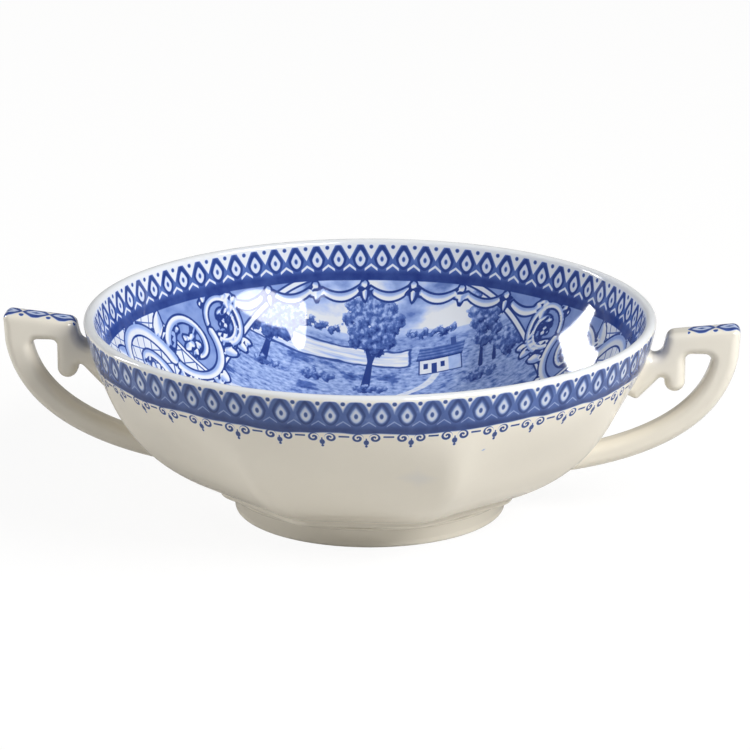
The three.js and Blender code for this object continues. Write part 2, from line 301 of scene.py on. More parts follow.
def outside_profile():
    """Stations from the middle of the underside over the cove, the bead and the wall to the shoulder."""
    reach = np.linspace(0, 1, UNDERSIDE_RINGS + 1)[1:]
    dome = SEAT_HEIGHT + UNDERSIDE_DOME * (1 - reach**4)
    underside = np.stack([reach * (FOOT_TOP_RADIUS - 1), dome, reach * 0], 1)
    share = np.linspace(0, 1, COVE_RINGS, endpoint=False)
    seat = np.array([FOOT_TOP_RADIUS, SEAT_HEIGHT])
    hollow = np.array([FOOT_TOP_RADIUS + COVE_HOLLOW, BEAD_FOOT[1]])
    cove = np.column_stack([bezier([seat, hollow, BEAD_FOOT], share), share**2])
    share = np.linspace(0, 1, BEAD_RINGS, endpoint=False)
    proud = BEAD_DEPTH * np.sin(math.pi * share)[:, None]
    outward = step_from((0, 0), BEAD_RISE - 90, 1)
    bead = BEAD_FOOT + (PANEL_FOOT - BEAD_FOOT) * share[:, None] + proud * outward
    bead = np.column_stack([bead, np.ones(BEAD_RINGS)])
    points, _, weights = wall_outside(np.linspace(0, 1, PROFILE_SAMPLES))
    wall = resample(np.column_stack([points, weights]), WALL_RINGS)
    return np.concatenate([underside, cove, bead, wall])


def lip_profile():
    angles = np.linspace(-WALL_TOP_LEAN, 180 - WALL_TOP_LEAN, LIP_RINGS + 1, endpoint=False)[1:]
    turn = np.radians(angles)
    arc = LIP_CENTRE + LIP_RADIUS * np.stack([np.cos(turn), np.sin(turn)], 1)
    return np.column_stack([arc, np.zeros(LIP_RINGS)])


def inside_profile():
    """Stations down the inside of the wall and over the floor to its middle."""
    shares = np.linspace(1, 0, PROFILE_SAMPLES)
    points, tangents, weights = wall_outside(shares)
    thickness = (WALL_THICKNESS + (LIP_THICKNESS - WALL_THICKNESS) * shares)[:, None]
    inward = np.stack([-tangents[:, 1], tangents[:, 0]], 1)
    wall = np.column_stack([points + thickness * inward, weights * INSIDE_PANEL_SHARE])
    foot = wall[-1]
    run = (foot[1] - FLOOR_HEIGHT) / math.tan(math.radians(WALL_FOOT_RISE))
    share = np.linspace(0, 1, PROFILE_SAMPLES)
    curve = [foot[:2], (foot[0] - run, FLOOR_HEIGHT), (FLOOR_RADIUS, FLOOR_HEIGHT)]
    floor = np.column_stack([bezier(curve, share), foot[2] * (1 - share)])
    middle = np.array([[0.0, FLOOR_HEIGHT, 0.0]])
    return resample(np.concatenate([wall, floor[1:], middle]), INSIDE_RINGS + 1)[:-1]


def outline_distance(points, outline):
    """Signed distance of points to a closed outline, below zero inside it."""
    nearest = np.full(len(points), np.inf)
    inside = np.zeros(len(points), bool)
    for start, end in zip(outline, np.roll(outline, -1, axis=0)):
        side = end - start
        share = np.clip(((points - start) @ side) / max(side @ side, 1e-12), 0, 1)
        gap = points - start - share[:, None] * side
        nearest = np.minimum(nearest, (gap**2).sum(1))
        crosses = (start[1] > points[:, 1]) != (end[1] > points[:, 1])
        with np.errstate(divide="ignore", invalid="ignore"):
            meets = start[0] + side[0] * (points[:, 1] - start[1]) / side[1]
        inside ^= crosses & (points[:, 0] < meets)
    return np.where(inside, -1, 1) * np.sqrt(nearest)


def mesh_piece(name, points, faces):
    """A new smooth-shaded object from points in millimetres."""
    mesh = bpy.data.meshes.new(name)
    mesh.from_pydata((np.asarray(points) * MM).tolist(), [], faces)
    mesh.validate()
    mesh.shade_smooth()
    piece = bpy.data.objects.new(name, mesh)
    bpy.context.scene.collection.objects.link(piece)
    return piece


def ring_faces(rings, count, closed=False):
    """Quads between rings of that many points each, and from the last ring to the first one if closed."""
    faces = []
    for ring in range(rings if closed else rings - 1):
        low, high = ring * count, (ring + 1) % rings * count
        for column in range(count):
            after = (column + 1) % count
            faces.append((low + column, low + after, high + after, high + column))
    return faces


def set_attribute(piece, name, values):
    """A number, or a row of three, at each vertex, which the piece's material reads."""
    kind = "FLOAT" if values.ndim == 1 else "FLOAT_VECTOR"
    attribute = piece.data.attributes.new(name, kind, "POINT")
    attribute.data.foreach_set("value" if kind == "FLOAT" else "vector", values.astype(np.float32).ravel())


def vertex_places(mesh):
    places = np.empty(len(mesh.vertices) * 3, np.float32)
    mesh.vertices.foreach_get("co", places)
    return places.reshape(-1, 3).astype(float) / MM


# Print inside the bowl. A place there is given by the surface laid flat: x to the right and y away from the
# viewer, in millimetres along the surface from the middle of the floor.
MEDALLION_CENTRE_Y = 12.0
MEDALLION_HALF_WIDTH = 44.0
MEDALLION_HALF_HEIGHT = 62.0
MEDALLION_POWER = 2.4
VINE_START = 43.0  # degrees from the far side, where the vine has room to begin
VINE_FILL = 0.44  # radius of a scroll, as a share of the channel that it runs in
VINE_TURNS = 0.85  # turns of a scroll's curl
VINE_CURL = 0.66  # share of its radius that the curl runs in by
VINE_LEAVES = ((0.04, 0.95), (0.40, 0.66), (0.72, 0.70))  # place on a scroll's bend, and length in its radii
CURL_LEAVES = (0.9, 2.3, 3.7)  # radians round a scroll's curl
SCROLL_POINTS = 60
LEAF_STEPS = 8
OUTLINE = 0.5  # dark line round each leaf and stem
FAR = 9.0  # the distance given where no stroke is near
TRELLIS_TOP = 27.0
SWAGS = 7
SWAG_ANGLE = 11.5
SWAG_SAG = 3.0
SWAG_POINTS = 15
SWAG_DROPS = ((-0.5, 2.6), (0.5, 2.6), (0.0, 3.8))  # lean in radians and length


def medallion_distance(x, y):
    """About the distance outside the medallion's edge, below zero inside it."""
    across = np.abs(x) / MEDALLION_HALF_WIDTH
    up = np.abs(y - MEDALLION_CENTRE_Y) / MEDALLION_HALF_HEIGHT
    size = (across**MEDALLION_POWER + up**MEDALLION_POWER) ** (1 / MEDALLION_POWER)
    return (size - 1) * np.hypot(x, y - MEDALLION_CENTRE_Y) / np.maximum(size, 1e-6)


def channel_at(angle, outer):
    """Middle radius and half width of the channel between the medallion and the border, at an angle."""
    radii = np.linspace(20, outer, 400)
    turn = math.radians(angle)
    gap = medallion_distance(radii * math.sin(turn), radii * math.cos(turn))
    inner = radii[np.argmax(gap > 0)]
    return (inner + outer) / 2, (outer - inner) / 2


def vine_scrolls(outer):
    """Centres and radii of touching circles along the channel, from the far side round to the near one."""
    circles = []
    for angle in np.arange(VINE_START, 180, 0.25):
        middle, half = channel_at(angle, outer)
        turn = math.radians(angle)
        centre = np.array([middle * math.sin(turn), middle * math.cos(turn)])
        radius = 2 * half * VINE_FILL
        if not circles or np.hypot(*(centre - circles[-1][0])) >= radius + circles[-1][1]:
            if centre[0] > radius * 0.8:
                circles.append((centre, radius))
    return circles


def leaf_stroke(base, heading, length, half_width, bend):
    """A pointed leaf as a line of points with half widths. Heading and bend are angles in radians."""
    share = np.linspace(0, 1, LEAF_STEPS + 1)
    turn = heading + bend * share
    steps = np.stack([np.cos(turn), np.sin(turn)], 1) * length / LEAF_STEPS
    line = base + np.concatenate([[[0, 0]], np.cumsum(steps[:-1], axis=0)])
    return line, half_width * np.sin(math.pi * (0.1 + 0.9 * share)) ** 0.8 + 0.05


def rosette_strokes(centre, size, petals):
    """A small flower: petals about a round eye."""
    strokes = []
    for turn in np.linspace(0, 2 * math.pi, petals, endpoint=False):
        strokes.append(leaf_stroke(centre, turn, size, size * 0.30, 0.0))
    eye = np.array([centre, centre + [0.01, 0]])
    strokes.append((eye, np.full(2, size * 0.30)))
    return strokes


def vine_strokes(outer):
    """The vine on the right: leaves, then stems, then flowers, each laid over the ones before."""
    circles = vine_scrolls(outer)
    leaves, stems, flowers = [], [], []
    for index, (centre, radius) in enumerate(circles):
        way = 1 if index % 2 else -1
        before = circles[index - 1][0]
        is_last = index + 1 == len(circles)
        back = before - centre if index else -centre
        ahead = centre - before if is_last else circles[index + 1][0] - centre
        enter = math.atan2(back[1], back[0])
        leave = math.atan2(ahead[1], ahead[0])
        half_turn = (way * (leave - enter)) % (2 * math.pi)
        swept = np.linspace(0, half_turn + 2 * math.pi * VINE_TURNS, SCROLL_POINTS)
        curl = np.clip((swept - half_turn) / (2 * math.pi * VINE_TURNS), 0, 1)
        reach = radius * (1 - VINE_CURL * curl**0.9)
        angles = enter + way * swept
        line = centre + reach[:, None] * np.stack([np.cos(angles), np.sin(angles)], 1)
        stems.append((line, radius * (0.11 - 0.05 * curl)))
        flowers.extend(rosette_strokes(centre, radius * 0.34, 5))
        for share, length in VINE_LEAVES:
            at = enter + way * half_turn * share
            base = centre + radius * np.array([math.cos(at), math.sin(at)])
            for spread, size in ((0.15, 1.0), (0.75, 0.75)):
                heading = at + way * (math.pi / 2 - spread)
                leaves.append(leaf_stroke(base, heading, length * size * radius, 0.18 * radius, -way * 0.9))
        for turn in CURL_LEAVES:
            inner = radius * (1 - VINE_CURL * (turn / (2 * math.pi * VINE_TURNS)) ** 0.9)
            at = leave + way * turn
            base = centre + inner * np.array([math.cos(at), math.sin(at)])
            heading = at + way * (math.pi / 2 + 0.6)
            leaves.append(leaf_stroke(base, heading, 0.55 * inner, 0.16 * inner, way * 0.9))
    return leaves + stems + flowers


def swag_strokes(outer):
    """Festoons that hang from the border over the medallion's top, with a drop and a ball at each end."""
    strokes = []
    for swag in range(SWAGS):
        at = np.linspace(-1, 1, SWAG_POINTS)
        turn = np.radians((swag - (SWAGS - 1) / 2 + at / 2) * SWAG_ANGLE)
        reach = outer - 0.8 - SWAG_SAG * (1 - at**2)
        line = reach[:, None] * np.stack([np.sin(turn), np.cos(turn)], 1)
        strokes.append((line, 0.3 + 0.55 * (1 - at**2)))
    for swag in range(SWAGS + 1):
        turn = math.radians((swag - SWAGS / 2) * SWAG_ANGLE)
        outward = np.array([math.sin(turn), math.cos(turn)])
        inward = math.atan2(-outward[1], -outward[0])
        for spread, length in SWAG_DROPS:
            strokes.append(leaf_stroke((outer - 1.0) * outward, inward + spread, length, 0.62, 0.0))
        ball = (outer - 0.9) * outward
        strokes.append((np.array([ball, ball + [0.01, 0]]), np.full(2, 0.85)))
    return strokes


def stroke_distance(places, strokes):
    """Distance to the topmost stroke's edge, below zero inside it, and the side of its middle line."""
    distance = np.full(len(places), FAR)
    side = np.zeros(len(places))
    for line, width in strokes:
        reach = width.max() + 2.0
        low, high = line.min(0) - reach, line.max(0) + reach
        near = np.flatnonzero(((places > low) & (places < high)).all(1))
        local = places[near]
        best = np.full(len(near), FAR)
        best_side = np.zeros(len(near))
        for start, end, wide, narrow in zip(line, line[1:], width, width[1:]):
            step = end - start
            offset = local - start
            share = np.clip((offset @ step) / max(step @ step, 1e-12), 0, 1)
            gap = offset - share[:, None] * step
            half = wide + (narrow - wide) * share
            edge = np.hypot(*gap.T) - half
            cross = (step[0] * offset[:, 1] - step[1] * offset[:, 0]) / (np.hypot(*step) + 1e-9)
            closer = edge < best
            best = np.where(closer, edge, best)
            best_side = np.where(closer, cross / np.maximum(half, 0.2), best_side)
        shows = (best < OUTLINE) | (best < distance[near])
        distance[near] = np.where(shows, best, distance[near])
        side[near] = np.where(shows, best_side, side[near])
    return distance, np.clip(side, -1.5, 1.5)


# Trees of the landscape, from the far ones to the near ones: middle of the crown, half its width and height,
# number of its clumps of leaves, foot of the trunk and half the trunk's width.
TREES = (
    (-19, 58.2, 6.0, 0.8, 9, 58.0, 0.1),
    (12, 58.4, 7.0, 0.7, 11, 58.0, 0.1),
    (29.0, 57.0, 1.9, 5.6, 10, 47.5, 0.45),
    (24.8, 58.5, 2.1, 6.8, 12, 47.0, 0.5),
    (-31, 57.5, 7.5, 6.5, 22, 44.0, 0.9),
    (34, 50.5, 4.5, 2.8, 10, 47.0, 0.4),
    (-4, 61.0, 7.6, 6.6, 24, 43.0, 0.85),
    (-4, 43.4, 4.5, 0.7, 9, 43.0, 0.2),
    (-31, 44.4, 4.0, 0.7, 9, 44.0, 0.2),
    (-17, 45.0, 4.0, 1.3, 9, 44.0, 0.2),
    (24, 44.6, 4.5, 1.4, 9, 44.0, 0.2),
)
GOLDEN_TURN = math.pi * (3 - math.sqrt(5))
COTTAGE_X = 9.0
COTTAGE_Y = 47.5
# The door and then two windows: left, right, bottom and top from the cottage's corner.
COTTAGE_OPENINGS = ((2.9, 4.2, 0.0, 2.7), (0.9, 2.0, 1.3, 2.8), (5.1, 6.1, 1.3, 2.8))


def tree_fields(places):
    """Distance to the trees' crowns and to their branches, and how dark the crowns are."""
    leaves = np.full(len(places), FAR)
    shade = np.full(len(places), 0.7)
    limbs = []
    for x, y, half_width, half_height, count, foot, trunk in TREES:
        spread = np.sqrt((np.arange(count) + 0.5) / count)
        turn = np.arange(count) * GOLDEN_TURN
        right, up = half_width * spread * np.cos(turn), half_height * spread * np.sin(turn)
        clumps = np.stack([x + right, y + up], 1)
        size = 1.25 * math.sqrt(half_width * half_height / count)
        for clump in clumps[np.argsort(-clumps[:, 1])]:
            right, up = places[:, 0] - clump[0], places[:, 1] - clump[1]
            distance = np.hypot(right, up) - size
            leaves = np.minimum(leaves, distance)
            low = (y - clump[1]) / half_height
            lit = (0.55 * right - 0.85 * up) / size
            shade = np.where(distance < 0.3, 0.72 + 0.10 * low + 0.24 * lit, shade)
        taper = np.array([trunk * 1.4, trunk * 0.75, trunk * 0.5])
        limbs.append((np.array([[x - trunk, foot], [x, (foot + y) / 2], [x, y]]), taper))
        for side in (-1, 1):
            branch = side * half_width
            start = (x, foot * 0.55 + y * 0.45)
            bend = (x + branch * 0.3, y - half_height * 0.5)
            limbs.append((np.array([start, bend, (x + branch * 0.55, y)]), taper * 0.5))
    branches = np.min([stroke_distance(places, [limb])[0] for limb in limbs], axis=0)
    return leaves, shade, branches


def add_flat_map(piece, drop, below, crest_ring):
    """Maps the bowl's faces. A ring has its drop from the lip's crest and its distance from the base."""
    middle = drop[-1] + (drop[-1] - drop[-2])
    border_ring = np.argmax(drop > -MAP_BORDER_DROP)
    columns = np.arange(COLUMNS)
    turn = 2 * math.pi * np.arange(COLUMNS + 1) / COLUMNS
    circle = np.stack([np.cos(turn), np.sin(turn)], 1)
    within = ((middle - drop) / middle)[:, None, None]
    inside = MAP_INSIDE_CENTRE + MAP_INSIDE_RADIUS * within * circle
    share = (below / below[border_ring])[:, None, None]
    under = MAP_UNDER_CENTRE + MAP_UNDER_RADIUS * share * circle * [-1, 1]
    strip = columns * MAP_STRIPS // COLUMNS
    left = 0.004 + MAP_STRIP_WIDTH * (columns * MAP_STRIPS / COLUMNS - strip)
    right = left + MAP_STRIP_WIDTH * MAP_STRIPS / COLUMNS
    rise = 1 - drop / drop[border_ring]
    level = MAP_STRIP_LOW + MAP_STRIP_STEP * strip + MAP_STRIP_HEIGHT * rise[:, None]
    corners = []
    for ring in range(len(drop) - 1):
        if border_ring <= ring < crest_ring:
            low, high = level[ring], level[ring + 1]
            pairs = [(left, low), (right, low), (right, high), (left, high)]
            corners.append(np.stack([np.stack(pair, 1) for pair in pairs], 1).reshape(-1, 2))
            continue
        disc = under if ring < border_ring else inside
        low, high = disc[ring], disc[ring + 1]
        corners.append(np.stack([low[:-1], low[1:], high[1:], high[:-1]], 1).reshape(-1, 2))
    base = np.broadcast_to(MAP_UNDER_CENTRE, (COLUMNS, 2))
    floor = np.broadcast_to(MAP_INSIDE_CENTRE, (COLUMNS, 2))
    ends = [base, under[0][1:], under[0][:-1], floor, inside[-1][:-1], inside[-1][1:]]
    corners.append(np.stack(ends, 1).reshape(-1, 2))
    layer = piece.data.uv_layers.new(name="OFBake")
    layer.data.foreach_set("uv", np.concatenate(corners).astype(np.float32).ravel())


def build_bowl():
    """The moulded body as one closed mesh, with the print's places at its vertices."""
    outside, lip, inside = outside_profile(), lip_profile(), inside_profile()
    stations = np.concatenate([outside, lip, inside])
    angles = np.linspace(0, 2 * math.pi, COLUMNS, endpoint=False)
    radius = stations[:, :1]
    reach = radius + (panel_radius(radius, angles[None, :]) - radius) * stations[:, 2:]
    heights = np.repeat(stations[:, 1:2], COLUMNS, axis=1)
    grid = np.stack([reach * np.cos(angles), reach * np.sin(angles), heights], 2).reshape(-1, 3)
    rings = len(stations)
    start = len(grid)
    bottom_middle = [0, 0, SEAT_HEIGHT + UNDERSIDE_DOME]
    points = np.concatenate([grid, [bottom_middle, [0, 0, FLOOR_HEIGHT]]])
    faces = ring_faces(rings, COLUMNS)
    last = (rings - 1) * COLUMNS
    for column in range(COLUMNS):
        after = (column + 1) % COLUMNS
        faces.append((start, after, column))
        faces.append((start + 1, last + column, last + after))
    piece = mesh_piece("bowl", points, faces)

    # The drop is the distance along the surface from the crest of the lip: above zero inside the bowl.
    length = along_line(stations)
    crest = length[len(outside) + np.argmax(lip[:, 1])]
    drop = length - crest
    add_flat_map(piece, drop, length + stations[0, 0], len(outside) + np.argmax(lip[:, 1]))
    middle = drop[-1] + stations[-1, 0]
    laid_flat = (middle - drop)[:, None]
    places = np.stack([laid_flat * np.cos(angles), laid_flat * np.sin(angles)], 2).reshape(-1, 2)
    is_inside = np.repeat(drop > 0, COLUMNS)
    places[~is_inside] = [0, middle * 2]
    ends = np.array([[0, middle * 2], [0, 0]])
    places = np.concatenate([places, ends])
    drops = np.concatenate([np.repeat(drop, COLUMNS), [drop[0] - stations[0, 0], middle]])
    set_attribute(piece, "drop", drops)
    set_attribute(piece, "place", np.column_stack([places, np.zeros(len(places))]))
    set_attribute(piece, "medallion", medallion_distance(*places.T))
    outer = middle - INSIDE_MARGIN - INSIDE_BAND_HEIGHT
    folded = np.stack([np.abs(places[:, 0]), places[:, 1]], 1)
    vine, vine_side = stroke_distance(folded, vine_strokes(outer))
    swag, swag_side = stroke_distance(places, swag_strokes(outer))
    set_attribute(piece, "scroll", np.minimum(vine, swag))
    set_attribute(piece, "scroll_side", np.where(vine < swag, vine_side, swag_side))
    leaves, shade, branches = tree_fields(places)
    set_attribute(piece, "leaves", leaves)
    set_attribute(piece, "leaf_shade", shade)
    set_attribute(piece, "branches", branches)
    return piece


def build_foot():
    """The turned foot ring as one closed mesh, softened where it meets the body."""
    top = SEAT_HEIGHT + FOOT_SINK
    outer_foot = FOOT_TOP_RADIUS - FOOT_FLARE
    inner_top = FOOT_TOP_RADIUS - FOOT_WIDTH
    inner_foot = inner_top + FOOT_FLARE
    share = np.linspace(0, 1, 10)
    line = [
        np.array([[inner_top - FOOT_FILLET, top]]),
        bezier([(inner_top - FOOT_FILLET, SEAT_HEIGHT), (inner_top, SEAT_HEIGHT),
                (inner_top + 0.1, SEAT_HEIGHT - FOOT_FILLET)], share),
        bezier([(inner_foot, FOOT_EDGE), (inner_foot, 0), (inner_foot + FOOT_EDGE, 0)], share),
        bezier([(outer_foot - FOOT_EDGE, 0), (outer_foot, 0), (outer_foot + 0.05, FOOT_EDGE)], share),
        bezier([(outer_foot + 0.1, FOOT_EDGE * 1.6), (outer_foot + 0.45, FOOT_WAIST),
                (FOOT_TOP_RADIUS, top)], share),
    ]
    profile = np.concatenate(line)
    angles = np.linspace(0, 2 * math.pi, COLUMNS // 2, endpoint=False)
    radius, heights = profile[:, :1], np.repeat(profile[:, 1:], len(angles), axis=1)
    points = np.stack([radius * np.cos(angles), radius * np.sin(angles), heights], 2).reshape(-1, 3)
    return mesh_piece("foot", points, ring_faces(len(profile), len(angles), closed=True))


def rounded_outline(corners, arc_step=0.25):
    """Points of a closed outline through (x, y, radius) corners, each rounded by its own radius."""
    points = []
    for index, (x, y, radius) in enumerate(corners):
        here = np.array([x, y])
        if not radius:
            points.append(here)
            continue
        before = np.array(corners[index - 1][:2]) - here
        after = np.array(corners[(index + 1) % len(corners)][:2]) - here
        before = before / np.hypot(*before)
        after = after / np.hypot(*after)
        half = math.acos(np.clip(before @ after, -1, 1)) / 2
        inward = (before + after) / np.hypot(*(before + after))
        centre = here + inward * radius / math.sin(half)
        start = here + before * radius / math.tan(half) - centre
        end = here + after * radius / math.tan(half) - centre
        first = math.atan2(start[1], start[0])
        sweep = (math.atan2(end[1], end[0]) - first + math.pi) % (2 * math.pi) - math.pi
        count = max(3, int(abs(sweep) * radius / arc_step) + 2)
        turn = first + sweep * np.linspace(0, 1, count)
        points.extend(centre + radius * np.stack([np.cos(turn), np.sin(turn)], 1))
    return np.array(points)


WALL_TABLE = wall_outside(np.linspace(0, 1, PROFILE_SAMPLES))


def wall_radius(height, angle=0.0):
    """The wall's outside radius at a height and an angle in radians."""
    points, _, weights = WALL_TABLE
    corner = np.interp(height, points[:, 1], points[:, 0])
    weight = np.interp(height, points[:, 1], weights)
    return corner + (panel_radius(corner, np.asarray(angle)) - corner) * weight


def strap_sides():
    """The strap's outer and inner side, from the bar down into the wall."""
    bar_under = BAR_TOP - BAR_THICKNESS
    underside = np.array([wall_radius(PANEL_FOOT[1] + STRAP_FOOT_LIFT), PANEL_FOOT[1] + STRAP_FOOT_LIFT])
    foot = step_from(underside, 90 + STRAP_FOOT_RISE, STRAP_FOOT_THICKNESS / 2)
    top = np.array([HANDLE_END - BAR_END_LEAN - STRAP_TOP_THICKNESS / 2, bar_under])
    controls = [
        top,
        step_from(top, -90 - STRAP_TOP_LEAN, STRAP_TOP_PULL * (top[1] - foot[1])),
        step_from(foot, STRAP_FOOT_RISE, STRAP_FOOT_PULL * (top[0] - foot[0])),
        foot,
    ]
    shares = np.linspace(0, 1, 60)
    middle = bezier(controls, shares)
    slopes = bezier([b - a for a, b in zip(controls, controls[1:])], shares)
    along = slopes / np.hypot(*slopes.T)[:, None]
    middle = np.concatenate([middle, middle[-1:] + along[-1:] * HANDLE_ROOT])
    along = np.concatenate([along, along[-1:]])
    shares = np.append(shares, 1)
    half = ((STRAP_TOP_THICKNESS + (STRAP_FOOT_THICKNESS - STRAP_TOP_THICKNESS) * shares) / 2)[:, None]
    square = np.stack([-along[:, 1], along[:, 0]], 1)
    return middle + square * half, middle - square * half


def handle_outline():
    """The handle seen from the front: the horizontal is the distance from the bowl's axis."""
    neck_top = LIP_HEIGHT - NECK_DROP
    post_inner = RIM_RADIUS + POST_GAP
    post_outer = post_inner + POST_THICKNESS
    bar_under = BAR_TOP - BAR_THICKNESS
    spur_tip = bar_under - SPUR_DROP
    spur_inner = post_outer - SPUR_WIDTH
    spur_round = SPUR_WIDTH / 2
    pad_tip = LIP_HEIGHT - PAD_DROP
    pad_wall = float(wall_radius(pad_tip))
    outer, inner = strap_sides()
    inner = inner[inner[:, 0] - wall_radius(inner[:, 1]) > -2 * HANDLE_ROOT]
    window = inner[0]
    inner = inner[np.hypot(*(inner - window).T) > 2 * WINDOW_FILLET]
    return rounded_outline([
        (float(wall_radius(neck_top)) - HANDLE_ROOT, neck_top, 0),
        (post_inner, neck_top, NECK_FILLET),
        (post_inner + POST_LEAN, BAR_TOP - BAR_SLOPE_DROP, BAR_INNER_CORNER),
        (HANDLE_END, BAR_TOP, BAR_OUTER_CORNER),
        *((x, y, 0) for x, y in outer),
        *((x, y, 0) for x, y in inner[::-1]),
        (window[0], bar_under, WINDOW_FILLET),
        (post_outer, bar_under, WINDOW_FILLET),
        (post_outer, spur_tip, spur_round),
        (spur_inner, spur_tip, spur_round),
        (spur_inner, spur_tip + spur_round + NOTCH_RISE, NOTCH_FILLET),
        (pad_wall + PAD_THICKNESS, pad_tip, PAD_TIP_ROUND),
        (pad_wall - HANDLE_ROOT, pad_tip + PAD_UNDERCUT, 0),
    ])


def handle_depth(points, outline):
    """Zero on the handle's rounded skin, above zero outside it. Points are rows of x, y and z."""
    to_edge = outline_distance(points[:, [0, 2]], outline)
    line = BAR_TOP - BAR_SLOPE_DROP * np.clip((HANDLE_END - points[:, 0]) / (HANDLE_END - RIM_RADIUS), 0, 1)
    flat_top = smooth_step(points[:, 2], line - BAR_EDGE_DEPTH, line - BAR_EDGE_DEPTH / 3)
    edge = HANDLE_EDGE + (BAR_EDGE - HANDLE_EDGE) * flat_top
    crown = HANDLE_CROWN + (BAR_CROWN - HANDLE_CROWN) * flat_top
    inward = (to_edge + edge) / edge
    sideways = (np.abs(points[:, 1]) - HANDLE_WIDTH / 2 + crown) / crown
    corner = np.hypot(np.maximum(inward, 0), np.maximum(sideways, 0))
    return (corner + np.minimum(np.maximum(inward, sideways), 0) - 1) * np.minimum(edge, crown)


def build_handle(name, half_turn):
    """A cast handle: the outline's slab, remeshed, drawn onto the rounded skin and flared into the wall."""
    outline = handle_outline()
    slab = bpy.data.meshes.new(name + "_slab")
    form = bmesh.new()
    corners = [form.verts.new((x * MM, -HANDLE_WIDTH / 2 * MM, z * MM)) for x, z in outline]
    face = form.faces.new(corners)
    pushed = bmesh.ops.extrude_face_region(form, geom=[face])
    moved = [item for item in pushed["geom"] if isinstance(item, bmesh.types.BMVert)]
    bmesh.ops.translate(form, verts=moved, vec=(0, HANDLE_WIDTH * MM, 0))
    bmesh.ops.recalc_face_normals(form, faces=form.faces)
    form.to_mesh(slab)
    form.free()
    carrier = bpy.data.objects.new(name + "_slab", slab)
    bpy.context.scene.collection.objects.link(carrier)
    remesh = carrier.modifiers.new("Even", "REMESH")
    remesh.mode = "VOXEL"
    remesh.voxel_size = HANDLE_VOXEL * MM
    depsgraph = bpy.context.evaluated_depsgraph_get()
    mesh = bpy.data.meshes.new_from_object(carrier.evaluated_get(depsgraph))
    bpy.data.objects.remove(carrier)
    mesh.name = name
    mesh.shade_smooth()
    points = vertex_places(mesh)
    for _ in range(SKIN_PASSES):
        depth = handle_depth(points, outline)
        rises = [handle_depth(points + SKIN_NUDGE * axis, outline) - depth for axis in np.eye(3)]
        slope = np.stack(rises, 1) / SKIN_NUDGE
        steep = np.maximum((slope**2).sum(1, keepdims=True), 0.2)
        points = points - np.clip(depth[:, None] * slope / steep, -SKIN_STEP, SKIN_STEP)
    outward = slope / np.sqrt(steep)

    # Flare the ends into the wall.
    angle = np.arctan2(points[:, 1], points[:, 0])
    radius = np.hypot(points[:, 0], points[:, 1])
    gap = radius - wall_radius(points[:, 2], angle)
    lift = (wall_radius(points[:, 2] + 0.1, angle) - wall_radius(points[:, 2] - 0.1, angle)) / 0.2
    gap = gap / np.hypot(1, lift)
    wall_normal = np.stack([points[:, 0] / radius, points[:, 1] / radius, -lift], 1)
    wall_normal /= np.sqrt((wall_normal**2).sum(1, keepdims=True))
    aside = outward - (outward * wall_normal).sum(1, keepdims=True) * wall_normal
    aside /= np.maximum(np.sqrt((aside**2).sum(1, keepdims=True)), 0.3)
    share = np.clip(1 - gap / ROOT_FILLET, 0, 1)
    points = points + aside * (ROOT_FILLET * (1 - np.sqrt(1 - share**2)))[:, None]
    if half_turn:
        points = points * [-1, -1, 1]
    mesh.vertices.foreach_set("co", (points * MM).astype(np.float32).ravel())
    mesh.update()
    piece = bpy.data.objects.new(name, mesh)
    bpy.context.scene.collection.objects.link(piece)
    return piece


class Field:
    """A number over the surface, held by a material's socket. Sums and products add nodes for them."""

    def __init__(self, tree, socket):
        self.tree = tree
        self.socket = socket

    def math(self, operation, *others):
        node = self.tree.nodes.new("ShaderNodeMath")
        node.operation = operation
        for slot, value in zip(node.inputs, (self, *others)):
            if isinstance(value, Field):
                self.tree.links.new(value.socket, slot)
            else:
                slot.default_value = value
        return Field(self.tree, node.outputs[0])

    def __add__(self, other):
        return self.math("ADD", other)

    def __sub__(self, other):
        return self.math("SUBTRACT", other)

    def __rsub__(self, other):
        return self.math("MULTIPLY_ADD", -1.0, other)

    def __mul__(self, other):
        return self.math("MULTIPLY", other)

    def __truediv__(self, other):
        return self.math("DIVIDE", other)

    __radd__ = __add__
    __rmul__ = __mul__

    def abs(self):
        return self.math("ABSOLUTE")

    def fraction(self):
        return self.math("FRACT")

    def least(self, other):
        return self.math("MINIMUM", other)

    def most(self, other):
        return self.math("MAXIMUM", other)

    def under(self, edge, soft):
        """1 where the field is under the edge and 0 where it is over, with a soft step between."""
        node = self.tree.nodes.new("ShaderNodeMapRange")
        node.interpolation_type = "SMOOTHSTEP"
        self.tree.links.new(self.socket, node.inputs["Value"])
        limits = {"From Min": edge - soft, "From Max": edge + soft, "To Min": 1, "To Max": 0}
        for name, value in limits.items():
            node.inputs[name].default_value = value
        return Field(self.tree, node.outputs[0])

    def over(self, edge, soft):
        return 1 - self.under(edge, soft)

    def between(self, low, high, soft):
        return self.over(low, soft) * self.under(high, soft)


def painted(base, value, mask):
    """The base, with a value laid over it where the mask is 1."""
    return base + mask * (value - base)


